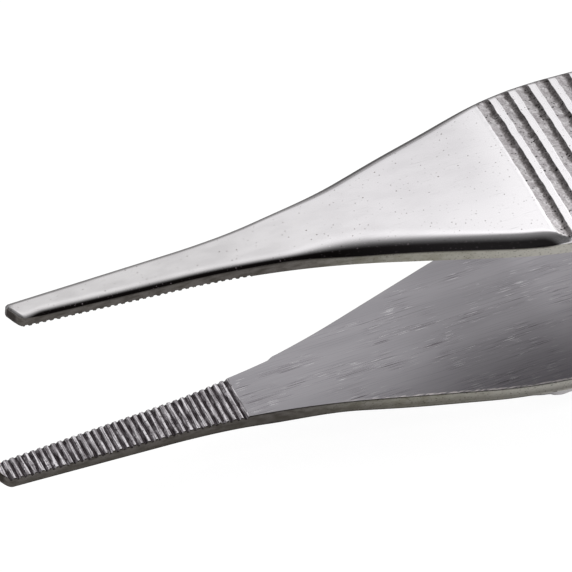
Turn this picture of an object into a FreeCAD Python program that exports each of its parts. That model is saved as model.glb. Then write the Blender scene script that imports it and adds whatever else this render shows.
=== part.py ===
"""Thumb forceps with fluted grips and cross-serrated jaws, lying on the lower arm.

Two stamped stainless arms, welded face to face at the tail. The arms are drawn about the forceps'
own middle plane, with X running from the tips to the tail, then both are laid down on the table.
"""
import FreeCAD, Part
import math
import os

V = FreeCAD.Vector

# Whole forceps, in millimetres
overall_length = 120.0
tip_half_gap = 6.88
weld_length = 9.0
weld_bend_reach = 5.0

# Side profile: slope of the inner face in front, and the long bow behind it
front_slope = 0.029
bow_middle_x = 74.0
bow_reach = 32.0

# Plan outline of one arm: half widths, slopes of its edges, and the curves between them
tip_half_width = 0.78
jaw_slope = 0.042
flare_start_x = 17.3
flare_slope = 0.293
flare_reach = 6.4
shoulder_x = 34.5
shoulder_reach = 4.2
grip_end_x = 52.0
grip_end_reach = 6.0
tail_half_width = 4.1
tip_slant_width = 1.1
tip_slant_length = 0.46
tip_round = 0.3

# Thickness of the sheet, and where it changes
tip_thickness = 0.92
jaw_root_thickness = 1.07
grip_thickness = 1.64
tail_thickness = 1.05
jaw_root_x = 13.5
thick_from_x = 27.0
thin_from_x = 58.0
thin_to_x = 104.0

# Outer face: crown across the arm, and the hand-ground bevels along its edges
crown_radius = 100.0
jaw_near_bevel = 0.24
jaw_far_bevel = 0.40
flare_bevel = 0.68
upper_grip_bevel = 0.40
lower_grip_bevel = 0.66
bevel_grows_from_x = 17.0
bevel_grows_to_x = 22.5
bevel_fades_from_x = 28.5
bevel_fades_to_x = 36.0

# Serrations across the inner face of each jaw
serration_pitch = 0.456
serration_depth = 0.20
crest_drop = 0.02
serration_length = 15.9
first_root_x = 0.61

# Hand-ground step on the far side of the lower jaw
jaw_step_x = 18.9
jaw_step_length = 3.4
jaw_step_depth = 0.12

# Flutes across the outer face of each grip
flute_count = 14
flute_pitch = 1.38
flute_width = 0.94
flute_depth = 0.29
groove_flats = 5
first_flute_x = 33.28
flute_skew = 1.7

# Construction values
section_step = 2.0
tool_margin = 0.4


def soft_bend(x, bend_x, reach):
    """Nothing before a bend, a straight run of slope one after it, and a curve between."""
    if x <= bend_x - reach:
        return 0.0
    if x >= bend_x + reach:
        return x - bend_x
    return (x - bend_x + reach) ** 2 / (4.0 * reach)


def eased(x, x_from, x_to, value_from, value_to):
    """A value that eases from one level to the next between two places along the arm."""
    share = min(max((x - x_from) / (x_to - x_from), 0.0), 1.0)
    return value_from + (value_to - value_from) * share * share * (3.0 - 2.0 * share)


def half_gap(x):
    """Height of the inner face above the middle plane: straight in front, bowed, flat at the weld."""
    weld_bend_x = overall_length - weld_length - weld_bend_reach
    bow_slope = (tip_half_gap - front_slope * weld_bend_x) / (weld_bend_x - bow_middle_x)
    closing = front_slope * x + bow_slope * soft_bend(x, bow_middle_x, bow_reach)
    opening = (front_slope + bow_slope) * soft_bend(x, weld_bend_x, weld_bend_reach)
    return tip_half_gap - closing + opening


def half_width(x):
    """Half the width of an arm: slim jaw, flare, wide grip, then a long taper to the tail."""
    tail_x = overall_length - tail_half_width
    grip_half_width = (tip_half_width + jaw_slope * shoulder_x
                       + (flare_slope - jaw_slope) * (shoulder_x - flare_start_x))
    tail_slope = (grip_half_width - tail_half_width) / (tail_x - grip_end_x)
    width = tip_half_width + jaw_slope * x
    width += (flare_slope - jaw_slope) * soft_bend(x, flare_start_x, flare_reach)
    width -= flare_slope * soft_bend(x, shoulder_x, shoulder_reach)
    width -= tail_slope * soft_bend(x, grip_end_x, grip_end_reach)
    return width


def thickness(x):
    """Sheet thickness: thin jaws, a thick grip, and a thinner springy tail."""
    if x <= jaw_root_x:
        return tip_thickness + (jaw_root_thickness - tip_thickness) * x / jaw_root_x
    if x <= thin_from_x:
        return eased(x, jaw_root_x, thick_from_x, jaw_root_thickness, grip_thickness)
    return eased(x, thin_from_x, thin_to_x, grip_thickness, tail_thickness)


def edge_bevel(x, side, grip_bevel):
    """Size of the bevel along the near (-1) or far (+1) outer edge: small on the jaws, large on the flare."""
    if x < bevel_fades_from_x:
        jaw_bevel = jaw_near_bevel if side < 0 else jaw_far_bevel
        return eased(x, bevel_grows_from_x, bevel_grows_to_x, jaw_bevel, flare_bevel)
    return eased(x, bevel_fades_from_x, bevel_fades_to_x, flare_bevel, grip_bevel)


def outer_height(x):
    """Height of the outer face above the middle plane, on the arm's centre line."""
    return half_gap(x) + thickness(x)


def section_corners(x, side, grip_bevel):
    """Corners of an arm's section on one side: inner edge, foot of the bevel, top of the bevel."""
    width = half_width(x)
    bevel = edge_bevel(x, side, grip_bevel)
    crown_z = outer_height(x) - crown_radius
    bevel_top_z = crown_z + math.sqrt(crown_radius ** 2 - (width - bevel) ** 2)
    return [
        V(x, side * width, half_gap(x)),
        V(x, side * width, bevel_top_z - bevel),
        V(x, side * (width - bevel), bevel_top_z),
    ]


def section_wire(x, grip_bevel):
    """An arm's whole section: flat inner face, upright sides, bevelled edges, crowned outer face."""
    far = section_corners(x, 1, grip_bevel)
    near = section_corners(x, -1, grip_bevel)
    return Part.Wire([
        Part.LineSegment(near[0], far[0]).toShape(),
        Part.LineSegment(far[0], far[1]).toShape(),
        Part.LineSegment(far[1], far[2]).toShape(),
        Part.Arc(far[2], V(x, 0, outer_height(x)), near[2]).toShape(),
        Part.LineSegment(near[2], near[1]).toShape(),
        Part.LineSegment(near[1], near[0]).toShape(),
    ])


def lofted_arm(grip_bevel):
    """The arm from its tip to where the tail's round end starts."""
    tail_x = overall_length - tail_half_width
    count = int(round(tail_x / section_step))
    sections = [section_wire(tail_x * i / count, grip_bevel) for i in range(count + 1)]
    return Part.makeLoft(sections, True, False)


def tail_end(grip_bevel):
    """The round end of the tail: half the arm's section, turned about an upright axis."""
    tail_x = overall_length - tail_half_width
    inner, bevel_foot, bevel_top = section_corners(tail_x, 1, grip_bevel)
    bottom = V(tail_x, 0, inner.z)
    top = V(tail_x, 0, outer_height(tail_x))
    crown_y = bevel_top.y / 2.0
    crown_z = top.z - crown_radius + math.sqrt(crown_radius ** 2 - crown_y ** 2)
    outline = Part.Wire([
        Part.LineSegment(bottom, inner).toShape(),
        Part.LineSegment(inner, bevel_foot).toShape(),
        Part.LineSegment(bevel_foot, bevel_top).toShape(),
        Part.Arc(bevel_top, V(tail_x, crown_y, crown_z), top).toShape(),
        Part.LineSegment(top, bottom).toShape(),
    ])
    return Part.Face(outline).revolve(V(tail_x, 0, 0), V(0, 0, 1), -180)


def serration_cutter(phase):
    """One comb that mills every V groove across a jaw; phase shifts it so that the two jaws mesh."""
    reach = half_width(serration_length) + tool_margin
    half_pitch = serration_pitch / 2.0
    first_crest_x = first_root_x + phase - half_pitch
    count = int((serration_length - first_crest_x) / serration_pitch)
    last_crest_x = first_crest_x + count * serration_pitch
    comb = [V(first_crest_x, -reach, half_gap(first_crest_x) - tool_margin)]
    for i in range(count):
        crest_x = first_crest_x + i * serration_pitch
        root_x = crest_x + half_pitch
        comb.append(V(crest_x, -reach, half_gap(crest_x) + crest_drop))
        comb.append(V(root_x, -reach, half_gap(root_x) + serration_depth))
    comb.append(V(last_crest_x, -reach, half_gap(last_crest_x) + crest_drop))
    comb.append(V(last_crest_x, -reach, half_gap(last_crest_x) - tool_margin))
    comb.append(comb[0])
    return Part.Face(Part.makePolygon(comb)).extrude(V(0, 2.0 * reach, 0))


def flute_cutters():
    """Round-bottomed grooves across the grip, each following the crown of the outer face."""
    groove_radius = (flute_width ** 2 / 4.0 + flute_depth ** 2) / (2.0 * flute_depth)
    half_turn = math.asin(flute_width / 2.0 / groove_radius)
    reach = math.degrees((half_width(shoulder_x + shoulder_reach) + tool_margin) / crown_radius)
    cutters = []
    for i in range(flute_count):
        x = first_flute_x + flute_width / 2.0 + i * flute_pitch
        pivot = V(x, 0, outer_height(x) - crown_radius)
        centre_z = outer_height(x) - flute_depth + groove_radius
        corners = [V(x - flute_width / 2.0, 0, centre_z)]
        for step in range(groove_flats + 1):
            turn = half_turn * (2.0 * step / groove_flats - 1.0)
            drop = groove_radius * math.cos(turn)
            corners.append(V(x + groove_radius * math.sin(turn), 0, centre_z - drop))
        corners.append(V(x + flute_width / 2.0, 0, centre_z))
        section = Part.Face(Part.makePolygon(corners + corners[:1]))
        section.rotate(pivot, V(1, 0, 0), reach)
        cutter = section.revolve(pivot, V(1, 0, 0), -2.0 * reach)
        cutter.rotate(V(x, 0, 0), V(0, 0, 1), flute_skew)
        cutters.append(cutter)
    return cutters


def tip_slant_cutter():
    """What slants the tip's end back towards the near side, seen from above."""
    near_y = -half_width(tip_slant_length)
    floor_z = half_gap(0.0) - tool_margin
    outline = Part.makePolygon([
        V(0, near_y + tip_slant_width, floor_z),
        V(tip_slant_length, near_y, floor_z),
        V(tip_slant_length, near_y - tool_margin, floor_z),
        V(-tool_margin, near_y - tool_margin, floor_z),
        V(-tool_margin, near_y + tip_slant_width, floor_z),
        V(0, near_y + tip_slant_width, floor_z),
    ])
    return Part.Face(outline).extrude(V(0, 0, tip_thickness + 2.0 * tool_margin))


def tip_corner_cutter():
    """What rounds the far corner of the tip, seen from above."""
    edge_y = half_width(tip_round)
    floor_z = half_gap(0.0) - tool_margin
    turn = tip_round * (1.0 - math.sqrt(0.5))
    wire = Part.Wire([
        Part.Arc(V(0, edge_y - tip_round, floor_z), V(turn, edge_y - turn, floor_z),
                 V(tip_round, edge_y, floor_z)).toShape(),
        Part.makePolygon([
            V(tip_round, edge_y, floor_z),
            V(tip_round, edge_y + tool_margin, floor_z),
            V(-tool_margin, edge_y + tool_margin, floor_z),
            V(-tool_margin, edge_y - tip_round, floor_z),
            V(0, edge_y - tip_round, floor_z),
        ]),
    ])
    return Part.Face(wire).extrude(V(0, 0, tip_thickness + 2.0 * tool_margin))


def tip_bevel_cutter():
    """What bevels the outer edge of the tip's end."""
    reach = tip_half_width + tool_margin
    top_z = outer_height(0.0)
    triangle = Part.makePolygon([
        V(-tool_margin, -reach, top_z - jaw_near_bevel - tool_margin),
        V(jaw_near_bevel + tool_margin, -reach, top_z + tool_margin),
        V(-tool_margin, -reach, top_z + tool_margin),
        V(-tool_margin, -reach, top_z - jaw_near_bevel - tool_margin),
    ])
    return Part.Face(triangle).extrude(V(0, 2.0 * reach, 0))


def jaw_step_cutter():
    """The lower jaw's far side, ground back by hand up to a small step at the foot of the flare."""
    foot_x = jaw_step_x - jaw_step_length
    floor_z = half_gap(foot_x) - tool_margin
    outline = Part.makePolygon([
        V(foot_x, half_width(foot_x), floor_z),
        V(jaw_step_x, half_width(jaw_step_x) - jaw_step_depth, floor_z),
        V(jaw_step_x, half_width(jaw_step_x) + tool_margin, floor_z),
        V(foot_x, half_width(jaw_step_x) + tool_margin, floor_z),
        V(foot_x, half_width(foot_x), floor_z),
    ])
    return Part.Face(outline).extrude(V(0, 0, grip_thickness + 2.0 * tool_margin))


def arm(phase, grip_bevel):
    """One arm, above the middle plane."""
    body = lofted_arm(grip_bevel).fuse(tail_end(grip_bevel))
    body = body.cut(serration_cutter(phase))
    body = body.cut(tip_slant_cutter())
    body = body.cut(tip_corner_cutter())
    body = body.cut(tip_bevel_cutter())
    return body.cut(Part.makeCompound(flute_cutters())).Solids[0]


def lay_down(arms):
    """Turn both arms together until the lower one's bow bears under their centre of mass."""
    mass = sum(shape.Volume for shape in arms)
    balance_x = sum(shape.CenterOfMass.x * shape.Volume for shape in arms) / mass
    fall = outer_height(balance_x - section_step) - outer_height(balance_x + section_step)
    lean = math.atan2(fall, 2.0 * section_step)
    for shape in arms:
        shape.rotate(V(0, 0, 0), V(0, 1, 0), math.degrees(lean))
    box = Part.makeCompound(arms).optimalBoundingBox(False, False)
    home = V(-(box.XMin + box.XMax) / 2.0, -(box.YMin + box.YMax) / 2.0, -box.ZMin)
    for shape in arms:
        shape.translate(home)


def main():
    upper_arm = arm(serration_pitch / 2.0, upper_grip_bevel)
    lower_arm = arm(0.0, lower_grip_bevel).cut(jaw_step_cutter()).Solids[0].mirror(V(0, 0, 0), V(0, 0, 1))
    lay_down([upper_arm, lower_arm])
    os.makedirs("parts", exist_ok=True)
    upper_arm.exportStep("parts/upper_arm.step")
    lower_arm.exportStep("parts/lower_arm.step")


main()
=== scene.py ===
"""Looks of the thumb forceps: two polished spring-steel arms lying on a white table."""
import math

import bmesh
import bpy
from mathutils import Matrix, Vector, noise


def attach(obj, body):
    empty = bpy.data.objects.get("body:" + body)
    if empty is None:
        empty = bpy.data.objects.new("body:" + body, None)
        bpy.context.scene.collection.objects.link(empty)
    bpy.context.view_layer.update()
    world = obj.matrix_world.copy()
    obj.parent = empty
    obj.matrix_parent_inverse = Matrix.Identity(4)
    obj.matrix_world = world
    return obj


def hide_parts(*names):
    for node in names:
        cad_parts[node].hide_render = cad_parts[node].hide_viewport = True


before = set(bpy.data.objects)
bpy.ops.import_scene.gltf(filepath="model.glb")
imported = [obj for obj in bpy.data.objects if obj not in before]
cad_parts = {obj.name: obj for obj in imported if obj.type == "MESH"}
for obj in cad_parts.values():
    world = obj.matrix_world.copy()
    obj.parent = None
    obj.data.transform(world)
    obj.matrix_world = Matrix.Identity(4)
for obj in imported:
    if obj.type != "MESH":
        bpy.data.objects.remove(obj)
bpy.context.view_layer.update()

# Camera: a long lens, level, looking down on the jaws from in front and to the left
picture_width = 0.0344
camera_distance = 0.828
camera_azimuth = math.radians(-23.83)
camera_elevation = math.radians(49.85)
camera_roll = math.radians(-0.22)
camera_target = Vector((-0.04060, 0.00101, 0.01087))

camera_data = bpy.data.cameras.new("camera")
camera_data.sensor_width = 36.0
camera_data.lens = camera_data.sensor_width * camera_distance / picture_width
camera_data.clip_start = 0.1
camera_data.clip_end = 10.0
camera = bpy.data.objects.new("camera", camera_data)
camera_forward = Vector((-math.sin(camera_azimuth) * math.cos(camera_elevation),
                         math.cos(camera_azimuth) * math.cos(camera_elevation),
                         -math.sin(camera_elevation)))
camera.location = camera_target - camera_distance * camera_forward
camera_turn = camera_forward.to_track_quat("-Z", "Y") @ Matrix.Rotation(camera_roll, 3, "Z").to_quaternion()
camera.rotation_euler = camera_turn.to_euler()
bpy.context.scene.collection.objects.link(camera)
bpy.context.scene.camera = camera
bpy.context.scene.view_settings.view_transform = "Standard"

# Upper arm: a stamped strip of stainless spring steel, ground to a slim jaw in front, bevelled along
# its outer edges and polished outside. Flutes are rolled across its grip and fine teeth milled across
# the jaw's inner face. It is drawn in millimetres about the forceps' middle plane, tip first.
overall_length = 120.0
tip_half_gap = 6.88
weld_length = 9.0
weld_bend_reach = 5.0
front_slope = 0.029
bow_middle_x = 74.0
bow_reach = 32.0
tip_half_width = 0.78
jaw_slope = 0.042
flare_start_x = 17.3
flare_slope = 0.293
flare_reach = 6.4
shoulder_x = 34.5
shoulder_reach = 4.2
grip_end_x = 52.0
grip_end_reach = 6.0
tail_half_width = 4.1
tip_slant_width = 1.1
tip_slant_length = 0.46
tip_round = 0.3
tip_softness = 0.3
jaw_step_x = 18.9
jaw_step_length = 3.4
jaw_step_depth = 0.12
tip_thickness = 0.92
jaw_root_thickness = 1.07
grip_thickness = 1.64
tail_thickness = 1.05
jaw_root_x = 13.5
thick_from_x = 27.0
thin_from_x = 58.0
thin_to_x = 104.0
crown_radius = 100.0
jaw_far_bevel = 0.40
bevel_grows_from_x = 17.0
bevel_grows_to_x = 22.5
bevel_fades_from_x = 28.5
bevel_fades_to_x = 36.0
land_bevel_from_x = 32.3
land_bevel_to_x = 34.9
land_ends_x = 50.0
# Below zero, a land's bevel gets a painted highlight instead of painted shade
land_shade = -1.0
land_spread = 0.25
near_softness = 0.85
flare_softness = 0.2
far_softness = 0.2
near_spread = 1.4
spread_ends_x = 26.0
tip_near_bevel = 0.15
near_bevel_full_x = 2.0
# Shares of the bevels' painted shade at the tip and along the jaw's far edge
tip_shade = 0.25
jaw_far_shade = 0.35
tip_bevel = 0.10
inner_edge_round = 0.05


def soft_bend(x, bend_x, reach):
    """Nothing before a bend, a straight run of slope one after it, and a curve between."""
    if x <= bend_x - reach:
        return 0.0
    if x >= bend_x + reach:
        return x - bend_x
    return (x - bend_x + reach) ** 2 / (4.0 * reach)


def eased(x, x_from, x_to, value_from, value_to):
    """A value that eases from one level to the next."""
    share = min(max((x - x_from) / (x_to - x_from), 0.0), 1.0)
    return value_from + (value_to - value_from) * share * share * (3.0 - 2.0 * share)


def half_gap(x):
    """Height of the inner face above the middle plane."""
    weld_bend_x = overall_length - weld_length - weld_bend_reach
    bow_slope = (tip_half_gap - front_slope * weld_bend_x) / (weld_bend_x - bow_middle_x)
    closing = front_slope * x + bow_slope * soft_bend(x, bow_middle_x, bow_reach)
    opening = (front_slope + bow_slope) * soft_bend(x, weld_bend_x, weld_bend_reach)
    return tip_half_gap - closing + opening


def half_width(x):
    """Half the width of an arm before its ends are rounded."""
    tail_x = overall_length - tail_half_width
    grip_half_width = (tip_half_width + jaw_slope * shoulder_x
                       + (flare_slope - jaw_slope) * (shoulder_x - flare_start_x))
    tail_slope = (grip_half_width - tail_half_width) / (tail_x - grip_end_x)
    width = tip_half_width + jaw_slope * x
    width += (flare_slope - jaw_slope) * soft_bend(x, flare_start_x, flare_reach)
    width -= flare_slope * soft_bend(x, shoulder_x, shoulder_reach)
    width -= tail_slope * soft_bend(x, grip_end_x, grip_end_reach)
    return width


def thickness(x):
    """Sheet thickness: thin jaws, a thick grip, and a thinner springy tail."""
    if x <= jaw_root_x:
        return tip_thickness + (jaw_root_thickness - tip_thickness) * x / jaw_root_x
    if x <= thin_from_x:
        return eased(x, jaw_root_x, thick_from_x, jaw_root_thickness, grip_thickness)
    return eased(x, thin_from_x, thin_to_x, grip_thickness, tail_thickness)


def edge_bevel(x, side, bevels):
    """Size of the bevel along the near (-1) or far (+1) outer edge.

    An arm's bevels are the near one on its jaw, both on its flare, the near one over the flutes, and the
    far one from the flutes on, which is also the near one's behind them.
    """
    jaw_bevel, flare_bevel, land_bevel, grip_bevel = bevels
    if x < bevel_grows_from_x and side < 0:
        return eased(x, tip_slant_length, near_bevel_full_x, tip_near_bevel, jaw_bevel)
    if x < bevel_fades_from_x:
        jaw_bevel = jaw_bevel if side < 0 else jaw_far_bevel
        return eased(x, bevel_grows_from_x, bevel_grows_to_x, jaw_bevel, flare_bevel)
    if side > 0:
        return eased(x, bevel_fades_from_x, bevel_fades_to_x, flare_bevel, grip_bevel)
    if x < land_ends_x:
        return eased(x, land_bevel_from_x, land_bevel_to_x, flare_bevel, land_bevel)
    return eased(x, land_ends_x, grip_end_x + grip_end_reach, land_bevel, grip_bevel)


def tip_cut(x, side):
    """How far the tip's slanted near corner (-1) or rounded far corner (+1) stands inside the side."""
    if side < 0:
        slant = tip_slant_width / tip_slant_length
        return slant * soft_bend(tip_slant_length - x, 0.0, tip_softness)
    if x >= tip_round:
        return 0.0
    return tip_round - math.sqrt(tip_round * tip_round - (tip_round - x) ** 2)


def side_y(x, side, jaw_step):
    """Place of an arm's near (-1) or far (+1) side at a station; a ground step narrows a jaw's far side."""
    tail_x = overall_length - tail_half_width
    if x > tail_x:
        return side * math.sqrt(max(tail_half_width ** 2 - (x - tail_x) ** 2, 0.0))
    if side < 0:
        return tip_cut(x, side) - half_width(x)
    step_share = (x - jaw_step_x + jaw_step_length) / jaw_step_length
    ground = jaw_step * step_share if 0.0 < step_share <= 1.0 else 0.0
    return half_width(x) - tip_cut(x, side) - ground


# Serrations and flutes, with the unevenness that milling and rolling leave. A jaw's teeth are its shift
# along the arm, the share of a tooth that is flat, the grooves' depth and where the last one ends.
serration_pitch = 0.456
upper_teeth = (serration_pitch / 2.0, 0.05, 0.10, 15.4)
lower_teeth = (0.0, 0.42, 0.17, 15.9)
first_root_x = 0.61
crest_drop = 0.02
crest_unevenness = 0.035
crest_wear = 0.3
flat_unevenness = 0.5
tooth_roughness = 0.02
tooth_burr = 0.03
flute_count = 14
flute_pitch = 1.38
flute_width = 0.94
flute_depth = 0.23
flute_floor = 0.66
flute_bulge = 0.25
first_flute_x = 33.22
flute_skew = math.radians(1.1)
flute_fade = 2.0
flute_wander = 0.05
flute_lip = 0.05
flute_lip_reach = 1.6
flute_roughness = 0.045
flutes_end_x = first_flute_x + flute_count * flute_pitch
rounding = 0.001


def unevenness(x, y, along, across, seed):
    """Noise at a point of a face, that changes so many times in a millimetre along and across it."""
    return noise.noise(Vector((x * along, y * across, seed)))


def teeth_end(teeth):
    """Where a jaw's last groove ends."""
    first_crest_x = first_root_x + teeth[0] - serration_pitch / 2.0
    return first_crest_x + serration_pitch * int((teeth[3] - first_crest_x) / serration_pitch)


def serration(x, y, teeth):
    """Depth of the milled grooves at a point of a jaw's inner face, and its share from crest to root."""
    phase, crest_share, groove_depth = teeth[:3]
    first_crest_x = first_root_x + phase - serration_pitch / 2.0
    turns = (x - first_crest_x) / serration_pitch
    if turns < 0.0 or x > teeth_end(teeth):
        return 0.0, 0.0
    tooth = math.floor(turns)
    within = turns - tooth
    crest = math.floor(turns + 0.5)
    uneven = unevenness(crest, y, 5.3, 1.1, phase * 7.0)
    rough = unevenness(x, y, 9.0, 1.5, phase * 5.0)
    flat = crest_share * (1.0 + flat_unevenness * uneven)
    share = max(1.0 - abs(2.0 * within - 1.0) - flat, 0.0) / (1.0 - flat)
    depth = crest_drop + (groove_depth - crest_drop) * share * (2.0 - share)
    depth += crest_unevenness * (uneven + crest_wear) * (1.0 - share) + tooth_roughness * rough
    return max(depth, 0.0), share


def flute_shift(x, y):
    """How far the flutes' lines stand off square at a point, skewed and uneven as they were rolled."""
    wander = unevenness(x, y, 0.9, 1.3, 4.0) + 0.5 * unevenness(x, y, 1.0, 5.0, 9.0)
    nearness = eased(x, first_flute_x - flute_fade, first_flute_x, 0.0, 1.0)
    nearness *= eased(x, flutes_end_x, flutes_end_x + flute_fade, 1.0, 0.0)
    return -nearness * (y * math.tan(flute_skew) + flute_wander * wander)


def flute(x, y):
    """Depth of the flutes at a point of the outer face, and where it is: -1 front edge, 1 rear edge."""
    turns = (x - first_flute_x) / flute_pitch
    across = (turns - math.floor(turns)) * flute_pitch / flute_width
    if turns < 0.0 or turns >= flute_count or across > 1.0 + rounding:
        return 0.0, 0.0
    if across < flute_floor:
        rise = across / flute_floor
    else:
        rise = (1.0 - across) / (1.0 - flute_floor)
    depth = flute_depth * rise * (1.0 + flute_bulge - flute_bulge * rise)
    pits = unevenness(x, y, 4.5, 4.5, 2.0) + 0.6 * unevenness(x, y, 10.0, 10.0, 6.0)
    depth += flute_roughness * pits * rise
    return max(depth, 0.0), 2.0 * across - 1.0


# Mesh rings along the arm, close over the teeth and the flutes and open elsewhere, and points round them.
# The rim steps are the points over an outer edge's bevel, in shares of its width.
tip_stations = 10
first_crest_stations = 2
stations_per_tooth = 12
shank_stations = 50
stations_per_flute = 10
stations_per_land = 4
spring_stations = 60
tail_stations = 24
tail_closing = 0.0004
inner_segments = 24
inner_rim = 0.2
inner_edge_share = 0.2
side_segments = 4
rim_steps = (0.0, 0.15, 0.3, 0.45, 0.6, 0.75, 0.9, 1.05, 1.2, 1.4, 1.65, 1.95)
widest_rim_share = 0.28
outer_middle_segments = 66


def spread(x_from, x_to, count):
    """Evenly spaced stations, without the last."""
    return [x_from + (x_to - x_from) * i / count for i in range(count)]


def stations():
    """Every place along the arm where the mesh has a ring."""
    first_crest_x = first_root_x - serration_pitch / 2.0
    tooth_count = math.ceil((lower_teeth[3] - first_crest_x) / serration_pitch)
    teeth_end_x = first_crest_x + tooth_count * serration_pitch
    tail_x = overall_length - tail_half_width
    places = spread(0.0, tip_bevel, tip_stations) + spread(tip_bevel, first_crest_x, first_crest_stations)
    places += spread(first_crest_x, teeth_end_x, tooth_count * stations_per_tooth)
    places += spread(teeth_end_x, first_flute_x, shank_stations)
    for i in range(flute_count):
        flute_x = first_flute_x + i * flute_pitch
        places += spread(flute_x, flute_x + flute_width, stations_per_flute)
        places += spread(flute_x + flute_width, flute_x + flute_pitch, stations_per_land)
    places += spread(flutes_end_x, tail_x, spring_stations)
    for i in range(tail_stations):
        places.append(tail_x + tail_half_width * math.sin(math.pi / 2.0 * i / tail_stations))
    places.append(overall_length - tail_closing)
    return places


def outer_positions(near_y, far_y, near_bevel, far_bevel):
    """Where the mesh has points across the outer face, from its far side to its near side."""
    most = widest_rim_share * (far_y - near_y)
    last = rim_steps[-1]
    far_rim = [far_y - min(far_bevel * step, most * step / last) for step in rim_steps]
    near_rim = [near_y + min(near_bevel * step, most * step / last) for step in reversed(rim_steps)]
    return far_rim + spread(far_rim[-1], near_rim[0], outer_middle_segments)[1:] + near_rim


def bevel_spread(x):
    """How many times as wide as it is deep the near bevel is: wide on the jaw, narrow over the lands."""
    if x < land_bevel_from_x:
        return eased(x, bevel_grows_from_x, spread_ends_x, near_spread, 1.0)
    if x < land_ends_x:
        return eased(x, land_bevel_from_x, land_bevel_to_x, 1.0, land_spread)
    return eased(x, land_ends_x, grip_end_x + grip_end_reach, land_spread, 1.0)


def tip_bevel_drop(x):
    """How far the tip's rounded end stands below the outer face."""
    return soft_bend(tip_bevel - x, 0.0, tip_bevel)


def outer_point(x, y, near_y, far_y, bevels):
    """A point of the outer face, with the three marks of its finish that a ring's points have."""
    tail_x = overall_length - tail_half_width
    crown = crown_radius - math.sqrt(crown_radius ** 2 - y * y)
    top = half_gap(x) + thickness(x) - crown
    near_soft = eased(x, bevel_grows_to_x, land_bevel_from_x, near_softness, flare_softness)
    near_in = (y - near_y) / bevel_spread(x)
    near_shade = eased(x, land_bevel_from_x, land_bevel_to_x, 1.0, land_shade)
    if x < near_bevel_full_x:
        near_shade = eased(x, tip_slant_length, near_bevel_full_x, tip_shade, 1.0)
    far_shade = eased(x, bevel_grows_from_x, bevel_fades_from_x, jaw_far_shade, 1.0)
    rims = [(edge_bevel(x, -1, bevels), near_in, near_soft, near_shade),
            (edge_bevel(x, 1, bevels), far_y - y, far_softness, far_shade)]
    if x > tail_x:
        rims = [(bevels[3], tail_half_width - math.hypot(x - tail_x, y), far_softness, 1.0)]
    drop = tip_bevel_drop(x)
    share = 0.0
    for bevel, depth_in, softness, shade in rims:
        rim_drop = soft_bend(bevel - depth_in, 0.0, softness * bevel)
        if depth_in <= 0.0:
            rim_drop = bevel
        if rim_drop > drop:
            drop = rim_drop
            share = shade * rim_drop / bevel
    depth, across = flute(x, y)
    shifted_x = x + flute_shift(x, y)
    if depth > drop:
        # A painted highlight where a flute runs out at the near bevel, marked below zero
        lip_highlight = -1.0 if depth - drop < flute_lip and y - near_y < flute_lip_reach * bevels[1] else 0.0
        return shifted_x, y, top - depth, lip_highlight, depth / flute_depth, across
    return shifted_x, y, top - drop, share, 0.0, across


def ring(x, teeth, jaw_step, bevels, side_shade):
    """One ring round the arm's section, closed at its near inner edge.

    Each point is its x, y and z, and what the steel's finishes need: its share of a bevel's painted
    shade (below zero, a painted highlight; on the inner face, one at the burr), its share of a groove's
    depth, and its place across the groove. On the sides the last two are the painted shade of the near
    side towards its outer edge, and one at the arm's slanted end.
    """
    near_y = side_y(x, -1, jaw_step)
    far_y = side_y(x, 1, jaw_step)
    edge = min(inner_edge_round, inner_edge_share * (far_y - near_y))
    rim = inner_rim * edge / inner_edge_round
    inner_from = near_y + edge
    inner_to = far_y - edge
    across = [inner_from] + spread(inner_from + rim, inner_to - rim, inner_segments - 2)
    across += [inner_to - rim, inner_to]
    points = []
    for i, y in enumerate(across):
        depth, share = serration(x, y, teeth)
        burr_highlight = 1.0 if i == 0 else 0.0
        points.append((x, y, half_gap(x) + depth, burr_highlight, share, 0.0))
    if 0.0 < points[0][4] < 0.5:
        burr_y = points[0][1] - edge - tooth_burr * (1.0 - 2.0 * points[0][4])
        points[0] = (x, burr_y, *points[0][2:])
    near_edge = edge_bevel(x, -1, bevels) * bevel_spread(x)
    far_edge = edge_bevel(x, 1, bevels)
    across = outer_positions(near_y, far_y, near_edge, far_edge)
    outer = [outer_point(x, y, near_y, far_y, bevels) for y in across]
    far_low = points[-1][2] + edge
    near_low = points[0][2] + edge
    end = 1.0 if x < tip_slant_length - tip_softness / 2.0 else 0.0
    for i in range(side_segments):
        points.append((x, far_y, far_low + (outer[0][2] - far_low) * i / side_segments, 0.0, 0.0, end))
    points += outer
    for i in range(side_segments - 1, -1, -1):
        height = near_low + (outer[-1][2] - near_low) * i / side_segments
        points.append((x, near_y, height, 0.0, side_shade * i / side_segments, end))
    points.append(points[0])
    return points


# Finishes of the steel, one for each way a face was worked
def grain(tree, along, across, seed, detail=2.0, through=0.0):
    """Noise with patches so many millimetres long and wide on the arm; on its sides, also through it."""
    place = tree.nodes.new("ShaderNodeTexCoord")
    stretch = tree.nodes.new("ShaderNodeMapping")
    stretch.inputs["Location"].default_value = (seed, seed, seed)
    stretch.inputs["Scale"].default_value = (1000.0 / along, 1000.0 / across, through * 1000.0 / across)
    pattern = tree.nodes.new("ShaderNodeTexNoise")
    pattern.inputs["Scale"].default_value = 1.0
    pattern.inputs["Detail"].default_value = detail
    tree.links.new(place.outputs["Object"], stretch.inputs["Vector"])
    tree.links.new(stretch.outputs["Vector"], pattern.inputs["Vector"])
    return pattern.outputs[0]


def mapped(tree, value, low, high, to_low=0.0, to_high=1.0):
    """A value turned smoothly from one range into another."""
    node = tree.nodes.new("ShaderNodeMapRange")
    node.interpolation_type = "SMOOTHSTEP"
    node.inputs["From Min"].default_value = low
    node.inputs["From Max"].default_value = high
    node.inputs["To Min"].default_value = to_low
    node.inputs["To Max"].default_value = to_high
    tree.links.new(value, node.inputs["Value"])
    return node.outputs["Result"]


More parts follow.
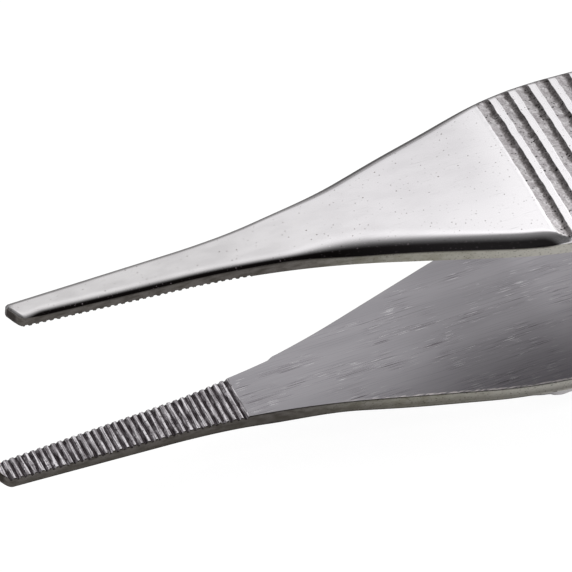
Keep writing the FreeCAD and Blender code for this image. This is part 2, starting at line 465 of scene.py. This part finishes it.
def mixed(tree, share, first, second):
    """Two colours, each a tuple or a socket, mixed by a share."""
    node = tree.nodes.new("ShaderNodeMix")
    node.data_type = "RGBA"
    tree.links.new(share, node.inputs[0])
    for colour, socket in ((first, node.inputs[6]), (second, node.inputs[7])):
        if isinstance(colour, tuple):
            socket.default_value = (*colour, 1.0)
        else:
            tree.links.new(colour, socket)
    return node.outputs[2]


def product(tree, first, second):
    """Two values multiplied."""
    node = tree.nodes.new("ShaderNodeMath")
    node.operation = "MULTIPLY"
    tree.links.new(first, node.inputs[0])
    tree.links.new(second, node.inputs[1])
    return node.outputs[0]


def total(tree, first, second):
    """Two values added."""
    node = tree.nodes.new("ShaderNodeMath")
    tree.links.new(first, node.inputs[0])
    tree.links.new(second, node.inputs[1])
    return node.outputs[0]


def beyond(tree, axis, start, end):
    """Nothing up to one place in millimetres along an axis, and one beyond another."""
    place = tree.nodes.new("ShaderNodeTexCoord")
    split = tree.nodes.new("ShaderNodeSeparateXYZ")
    tree.links.new(place.outputs["Object"], split.inputs["Vector"])
    return mapped(tree, split.outputs[axis], 0.001 * start, 0.001 * end)


def from_tip(tree, start, end):
    """Nothing up to a distance in millimetres from the tip, and one beyond another."""
    tip_x = -overall_length / 2.0
    return beyond(tree, "X", tip_x + start, tip_x + end)


def marked(tree, name):
    """A value that the mesh carries at its points."""
    node = tree.nodes.new("ShaderNodeAttribute")
    node.attribute_name = name
    return node.outputs["Fac"]


def new_finish(name, roughness):
    """A bare metal material with its node tree and shader."""
    material = bpy.data.materials.new(name)
    material.use_nodes = True
    shader = material.node_tree.nodes["Principled BSDF"]
    shader.inputs["Metallic"].default_value = 1.0
    shader.inputs["Roughness"].default_value = roughness
    return material, material.node_tree, shader


def roughen(tree, shader, height, depth):
    """Relief on a face, from a pattern, so many millimetres deep."""
    node = tree.nodes.new("ShaderNodeBump")
    node.inputs["Strength"].default_value = 1.0
    node.inputs["Distance"].default_value = 0.001 * depth
    tree.links.new(height, node.inputs["Height"])
    tree.links.new(node.outputs["Normal"], shader.inputs["Normal"])


# Polished outer face: ground bevels with painted dark reflections and glints, bright lands, pitted flutes,
# and painted highlights on the near ends of the lands and flutes
polished_steel, tree, shader = new_finish("polished_steel", 0.2)
shader.inputs["Specular Tint"].default_value = (0.35, 0.34, 0.34, 1.0)
cloud = mapped(tree, grain(tree, 2.6, 1.1, 3.0), 0.35, 0.68)
shank = mixed(tree, cloud, (0.80, 0.78, 0.80), (0.765, 0.745, 0.765))
jaw = mixed(tree, cloud, (0.68, 0.665, 0.67), (0.60, 0.585, 0.59))
face = mixed(tree, from_tip(tree, 8.0, 30.0), jaw, shank)
# Painted highlight: the near half of the face is lighter from 24 to 32 mm behind the tip
near_half_highlight = mapped(tree, beyond(tree, "Y", -4.5, 1.5), 0.0, 1.0, 1.0, 0.0)
face = mixed(tree, product(tree, from_tip(tree, 24.0, 32.0), near_half_highlight), face, (0.90, 0.88, 0.90))
face = mixed(tree, from_tip(tree, 31.0, 34.5), face, (0.95, 0.93, 0.95))
face = mixed(tree, from_tip(tree, 51.0, 56.0), face, (0.70, 0.685, 0.70))
streak = mapped(tree, grain(tree, 1.6, 0.07, 11.0), 0.62, 0.80, 0.0, 0.6)
face = mixed(tree, streak, face, (0.60, 0.585, 0.595))
speck = mapped(tree, grain(tree, 0.15, 0.11, 5.0, 0.0), 0.79, 0.81)
face = mixed(tree, speck, face, (0.22, 0.19, 0.18))
glint = mapped(tree, grain(tree, 0.14, 0.10, 21.0, 1.0), 0.66, 0.76)
# Painted shade: near-black bevels for the dark front they reflect, with painted glints in them
bevel_shade = mixed(tree, from_tip(tree, 20.0, 29.0), (0.010, 0.008, 0.008), (0.06, 0.054, 0.056))
bevel_shade_and_glint = mixed(tree, glint, bevel_shade, (0.34, 0.28, 0.31))
bevel = mapped(tree, marked(tree, "bevel"), 0.0, 0.6)
face = mixed(tree, bevel, face, bevel_shade_and_glint)
# Painted light and shade in the flutes: front walls lit, rear walls shaded, both lighter near their ends
ragged = mapped(tree, grain(tree, 0.4, 0.5, 23.0, 2.0), 0.3, 0.7, -0.16, 0.16)
place = total(tree, marked(tree, "across"), ragged)
shaded_wall_share = product(tree, mapped(tree, place, 0.05, 0.42), mapped(tree, place, 0.82, 1.1, 1.0, 0.5))
fleck = mapped(tree, grain(tree, 0.14, 0.12, 8.0, 3.0), 0.42, 0.60)
mottle = mapped(tree, grain(tree, 0.6, 0.45, 14.0, 3.0), 0.3, 0.7)
near_end_highlight = mapped(tree, beyond(tree, "Y", -6.5, -1.0), 0.0, 1.0, 0.55, 0.0)
lit_front_wall = mixed(tree, mottle, (0.74, 0.72, 0.73), (0.54, 0.51, 0.525))
lit_front_wall = mixed(tree, near_end_highlight, lit_front_wall, (0.90, 0.87, 0.88))
lit_front_wall = mixed(tree, mapped(tree, fleck, 0.0, 1.0, 0.0, 0.5), lit_front_wall, (0.34, 0.32, 0.325))
shaded_rear_wall = mixed(tree, mottle, (0.36, 0.335, 0.34), (0.18, 0.165, 0.165))
shaded_rear_wall = mixed(tree, near_end_highlight, shaded_rear_wall, (0.50, 0.47, 0.475))
shaded_rear_wall = mixed(tree, mapped(tree, fleck, 0.0, 1.0, 0.0, 0.6), shaded_rear_wall, (0.10, 0.088, 0.088))
pit = mapped(tree, grain(tree, 0.24, 0.18, 33.0, 1.0), 0.64, 0.70)
groove_colour = mixed(tree, pit, mixed(tree, shaded_wall_share, lit_front_wall, shaded_rear_wall), (0.02, 0.018, 0.018))
groove = mapped(tree, marked(tree, "groove"), 0.0, 0.08)
face = mixed(tree, groove, face, groove_colour)
# Painted highlight on the near ends of the flutes and lands, where the mark is below zero
lip_highlight = mapped(tree, marked(tree, "bevel"), -0.9, -0.2, 1.0, 0.0)
face = mixed(tree, lip_highlight, face, (0.95, 0.93, 0.93))
tree.links.new(face, shader.inputs["Base Color"])
rolled = mapped(tree, marked(tree, "groove"), 0.0, 0.2, 0.2, 0.45)
tree.links.new(rolled, shader.inputs["Roughness"])
roughen(tree, shader, grain(tree, 0.10, 0.07, 2.0), 0.0012)

# Sheared sides, dull and speckled, darkest on the jaws and lighter over the grip
sheared_steel, tree, shader = new_finish("sheared_steel", 0.42)
blotch = mapped(tree, grain(tree, 0.9, 0.35, 7.0, 3.0, 1.0), 0.35, 0.7)
jaw_flank = mixed(tree, blotch, (0.17, 0.155, 0.145), (0.09, 0.08, 0.07))
flank = mixed(tree, blotch, (0.45, 0.435, 0.38), (0.34, 0.325, 0.265))
flank = mixed(tree, from_tip(tree, 17.0, 27.0), jaw_flank, flank)
flank = mixed(tree, from_tip(tree, 25.0, 35.0), flank, (0.62, 0.60, 0.55))
spot = mapped(tree, grain(tree, 0.13, 0.10, 27.0, 2.0, 1.0), 0.55, 0.75, 0.0, 0.7)
flank = mixed(tree, spot, flank, (0.10, 0.09, 0.075))
# Painted shade: the lower arm's near side darkens towards its outer edge, which lies on the table
flank = mixed(tree, mapped(tree, marked(tree, "groove"), 0.1, 0.8, 0.0, 0.55), flank, (0.10, 0.09, 0.075))
flank = mixed(tree, mapped(tree, marked(tree, "bevel"), 0.1, 1.0, 0.0, 0.85), flank, (0.04, 0.035, 0.03))
flank = mixed(tree, mapped(tree, marked(tree, "across"), 0.0, 1.0, 0.0, 0.9), flank, (0.024, 0.018, 0.015))
tree.links.new(flank, shader.inputs["Base Color"])
roughen(tree, shader, grain(tree, 0.2, 0.05, 2.0, 2.0, 1.0), 0.005)

# Inner faces, ground along the arm, with the wheel's fine scratches, a burr along each edge with a painted
# highlight, and a patch of painted shade behind the jaws
ground_steel, tree, shader = new_finish("ground_steel", 0.34)
band = mapped(tree, grain(tree, 9.0, 1.4, 3.0, 1.0), 0.3, 0.7)
inner = mixed(tree, band, (0.360, 0.347, 0.367), (0.320, 0.309, 0.328))
line = mapped(tree, grain(tree, 5.0, 0.06, 13.0, 1.0), 0.5, 0.8, 0.0, 0.6)
inner = mixed(tree, line, inner, (0.23, 0.22, 0.235))
patch = mapped(tree, grain(tree, 3.5, 1.4, 31.0, 1.0), 0.42, 0.60)
# Painted shade: a darker patch 25 to 37.5 mm from the tip, for the upper arm's dark reflection
shade = mapped(tree, from_tip(tree, 34.0, 37.5), 0.0, 1.0, 0.22, 0.0)
inner = mixed(tree, product(tree, from_tip(tree, 25.0, 32.0), shade), inner, (0.10, 0.095, 0.10))
dark_scratch = mapped(tree, grain(tree, 3.0, 0.028, 9.0, 0.0), 0.66, 0.72)
inner = mixed(tree, product(tree, dark_scratch, patch), inner, (0.11, 0.095, 0.11))
light_scratch = mapped(tree, grain(tree, 1.2, 0.03, 17.0, 0.0), 0.73, 0.78)
inner = mixed(tree, product(tree, light_scratch, patch), inner, (0.74, 0.72, 0.74))
# Painted highlight: a bright line on the real burr at the inner face's near edge, from 20 mm on
ragged = mapped(tree, grain(tree, 0.6, 0.1, 41.0, 2.0), 0.40, 0.54, 0.05, 1.0)
burr_highlight = product(tree, mapped(tree, marked(tree, "bevel"), 0.2, 0.6), from_tip(tree, 20.0, 28.0))
inner = mixed(tree, product(tree, burr_highlight, ragged), inner, (0.92, 0.87, 0.85))
tree.links.new(inner, shader.inputs["Base Color"])
roughen(tree, shader, grain(tree, 4.0, 0.05, 4.0), 0.0012)

# Milled jaws: bright worn crests over roots darkened with painted shade, lined across the jaw by the cutter
milled_steel, tree, shader = new_finish("milled_steel", 0.36)
worn = grain(tree, 0.09, 1.6, 6.0, 2.0)
crest_colour = mixed(tree, mapped(tree, worn, 0.38, 0.60), (0.78, 0.755, 0.78), (0.26, 0.24, 0.255))
wobble = mapped(tree, grain(tree, 0.2, 0.6, 12.0), 0.3, 0.7, -0.3, 0.3)
# Painted shade: the roots of the teeth are painted near-black
root = mapped(tree, total(tree, marked(tree, "groove"), wobble), 0.2, 0.7)
tooth = mixed(tree, root, crest_colour, (0.060, 0.050, 0.055))
chip = mapped(tree, grain(tree, 0.10, 0.16, 37.0, 2.0), 0.54, 0.68, 0.0, 0.7)
tooth = mixed(tree, chip, tooth, (0.04, 0.034, 0.036))
tree.links.new(tooth, shader.inputs["Base Color"])
roughen(tree, shader, worn, 0.008)

finishes = [polished_steel, sheared_steel, ground_steel, milled_steel]
outer_finish, side_finish, inner_finish, jaw_finish = range(4)
teeth_end_margin = 0.01


def finish_at(x, j, teeth):
    """Which finish a face has, from its station and its place round the ring."""
    outer_from = inner_segments + 1 + side_segments
    outer_to = outer_from + 2 * len(rim_steps) + outer_middle_segments - 2
    if outer_from <= j < outer_to:
        return outer_finish
    if j >= inner_segments:
        return side_finish
    return jaw_finish if x < teeth_end(teeth) - teeth_end_margin else inner_finish


# Both arms are laid down together, on the bow of the lower one
rest_lean = math.radians(4.1987)
rest_home = Vector((-59.5747, 0.0, 10.8603))
millimetre = 0.001
merge_distance = 0.0001
sharp_angle = math.radians(38.0)
lay_down = (Matrix.Scale(millimetre, 4) @ Matrix.Translation(rest_home)
            @ Matrix.Rotation(rest_lean, 4, "Y"))


def arm_piece(name, teeth, bevels, jaw_step=0.0, side_shade=0.0, flip=False):
    """An arm: a flat grid wrapped round the section, ring by ring, and closed at its ends."""
    places = stations()
    rings = [ring(x, teeth, jaw_step, bevels, side_shade) for x in places]
    around = len(rings[0]) - 1
    along = len(places) - 1
    bm = bmesh.new()
    bmesh.ops.create_grid(bm, x_segments=along, y_segments=around, size=1.0)
    marks = [bm.verts.layers.float.new(mark_name) for mark_name in ("bevel", "groove", "across")]
    for face in bm.faces:
        middle = face.calc_center_median()
        i = int((middle.x + 1.0) / 2.0 * along)
        j = int((middle.y + 1.0) / 2.0 * around)
        face.material_index = finish_at(places[i], j, teeth)
        face.smooth = True
    for vert in bm.verts:
        i = round((vert.co.x + 1.0) / 2.0 * along)
        j = round((vert.co.y + 1.0) / 2.0 * around)
        x, y, z, *shares = rings[i][j]
        vert.co = (x, y, -z if flip else z)
        for mark, share in zip(marks, shares):
            vert[mark] = share
    bmesh.ops.remove_doubles(bm, verts=bm.verts, dist=merge_distance)
    rims = [edge for edge in bm.edges if edge.is_boundary]
    ends = bmesh.ops.holes_fill(bm, edges=rims, sides=0)["faces"]
    for face in ends:
        face.material_index = side_finish
    bmesh.ops.recalc_face_normals(bm, faces=bm.faces)
    bmesh.ops.transform(bm, matrix=lay_down, verts=bm.verts)
    mesh = bpy.data.meshes.new(name)
    bm.to_mesh(mesh)
    bm.free()
    mesh.set_sharp_from_angle(angle=sharp_angle)
    for finish in finishes:
        mesh.materials.append(finish)
    piece = bpy.data.objects.new(name, mesh)
    bpy.context.scene.collection.objects.link(piece)
    return piece


upper_bevels = (0.24, 0.68, 0.52, 0.40)
upper_arm = arm_piece("upper_arm_steel", upper_teeth, upper_bevels)
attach(upper_arm, "root")
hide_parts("upper_arm")

# Lower arm: the mirror image of the upper one, its teeth half a pitch along so that the jaws mesh. Its
# bevels are narrower in front and wider over the grip, its near side has painted shade towards its outer
# edge, and its jaw's far side was ground back up to a small step.
lower_bevels = (0.16, 0.57, 0.55, 0.55)
lower_side_shade = 1.0
lower_arm = arm_piece("lower_arm_steel", lower_teeth, lower_bevels, jaw_step_depth, lower_side_shade, True)
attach(lower_arm, "root")
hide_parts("lower_arm")

# Table: white to the camera, duller in the steel's reflections, with the forceps' soft shadow
table_half_size = 3.0
table_grey = 0.9
table_glow = 1.22
glow_to_camera = 0.76
glow_to_steel = 0.3
floor_mesh = bpy.data.meshes.new("table")
bm = bmesh.new()
bmesh.ops.create_grid(bm, x_segments=1, y_segments=1, size=table_half_size)
bm.to_mesh(floor_mesh)
bm.free()
floor = bpy.data.objects.new("table", floor_mesh)
bpy.context.scene.collection.objects.link(floor)
floor_material = bpy.data.materials.new("white_table")
floor_material.use_nodes = True
floor_tree = floor_material.node_tree
floor_tree.nodes.remove(floor_tree.nodes["Principled BSDF"])
paper = floor_tree.nodes.new("ShaderNodeBsdfDiffuse")
paper.inputs["Color"].default_value = (table_grey, table_grey, table_grey, 1.0)
glow = floor_tree.nodes.new("ShaderNodeEmission")
glow.inputs["Strength"].default_value = table_glow
ray = floor_tree.nodes.new("ShaderNodeLightPath")
reflected = floor_tree.nodes.new("ShaderNodeMath")
reflected.operation = "MULTIPLY"
reflected.inputs[1].default_value = glow_to_steel
seen = floor_tree.nodes.new("ShaderNodeMath")
seen.operation = "MAXIMUM"
whitened = floor_tree.nodes.new("ShaderNodeMath")
whitened.operation = "MULTIPLY"
whitened.inputs[1].default_value = glow_to_camera
blend = floor_tree.nodes.new("ShaderNodeMixShader")
floor_tree.links.new(ray.outputs["Is Camera Ray"], seen.inputs[0])
floor_tree.links.new(ray.outputs["Is Glossy Ray"], reflected.inputs[0])
floor_tree.links.new(reflected.outputs[0], seen.inputs[1])
floor_tree.links.new(seen.outputs[0], whitened.inputs[0])
floor_tree.links.new(whitened.outputs[0], blend.inputs["Fac"])
floor_tree.links.new(paper.outputs[0], blend.inputs[1])
floor_tree.links.new(glow.outputs[0], blend.inputs[2])
floor_tree.links.new(blend.outputs[0], floor_tree.nodes["Material Output"].inputs["Surface"])
floor_mesh.materials.append(floor_material)

# Studio: a dome that brightens upwards, with dark cards in front and on the left for the steel to reflect
world = bpy.data.worlds.new("studio")
world.use_nodes = True
bpy.context.scene.world = world
sky = world.node_tree
background = sky.nodes["Background"]
background.inputs["Color"].default_value = (1.0, 1.0, 1.0, 1.0)
direction = sky.nodes.new("ShaderNodeTexCoord")
split = sky.nodes.new("ShaderNodeSeparateXYZ")
sky.links.new(direction.outputs["Generated"], split.inputs["Vector"])
dome = mapped(sky, split.outputs["Z"], -0.05, 1.05, 0.35, 1.18)
front_card = mapped(sky, split.outputs["Y"], -0.6, 0.1, 0.25, 1.0)
left_card = mapped(sky, split.outputs["X"], -0.45, 0.05, 0.38, 1.0)
right_panel = mapped(sky, split.outputs["X"], 0.5, 0.85, 1.0, 2.2)
light = product(sky, product(sky, dome, front_card), product(sky, left_card, right_panel))
sky.links.new(light, background.inputs["Strength"])
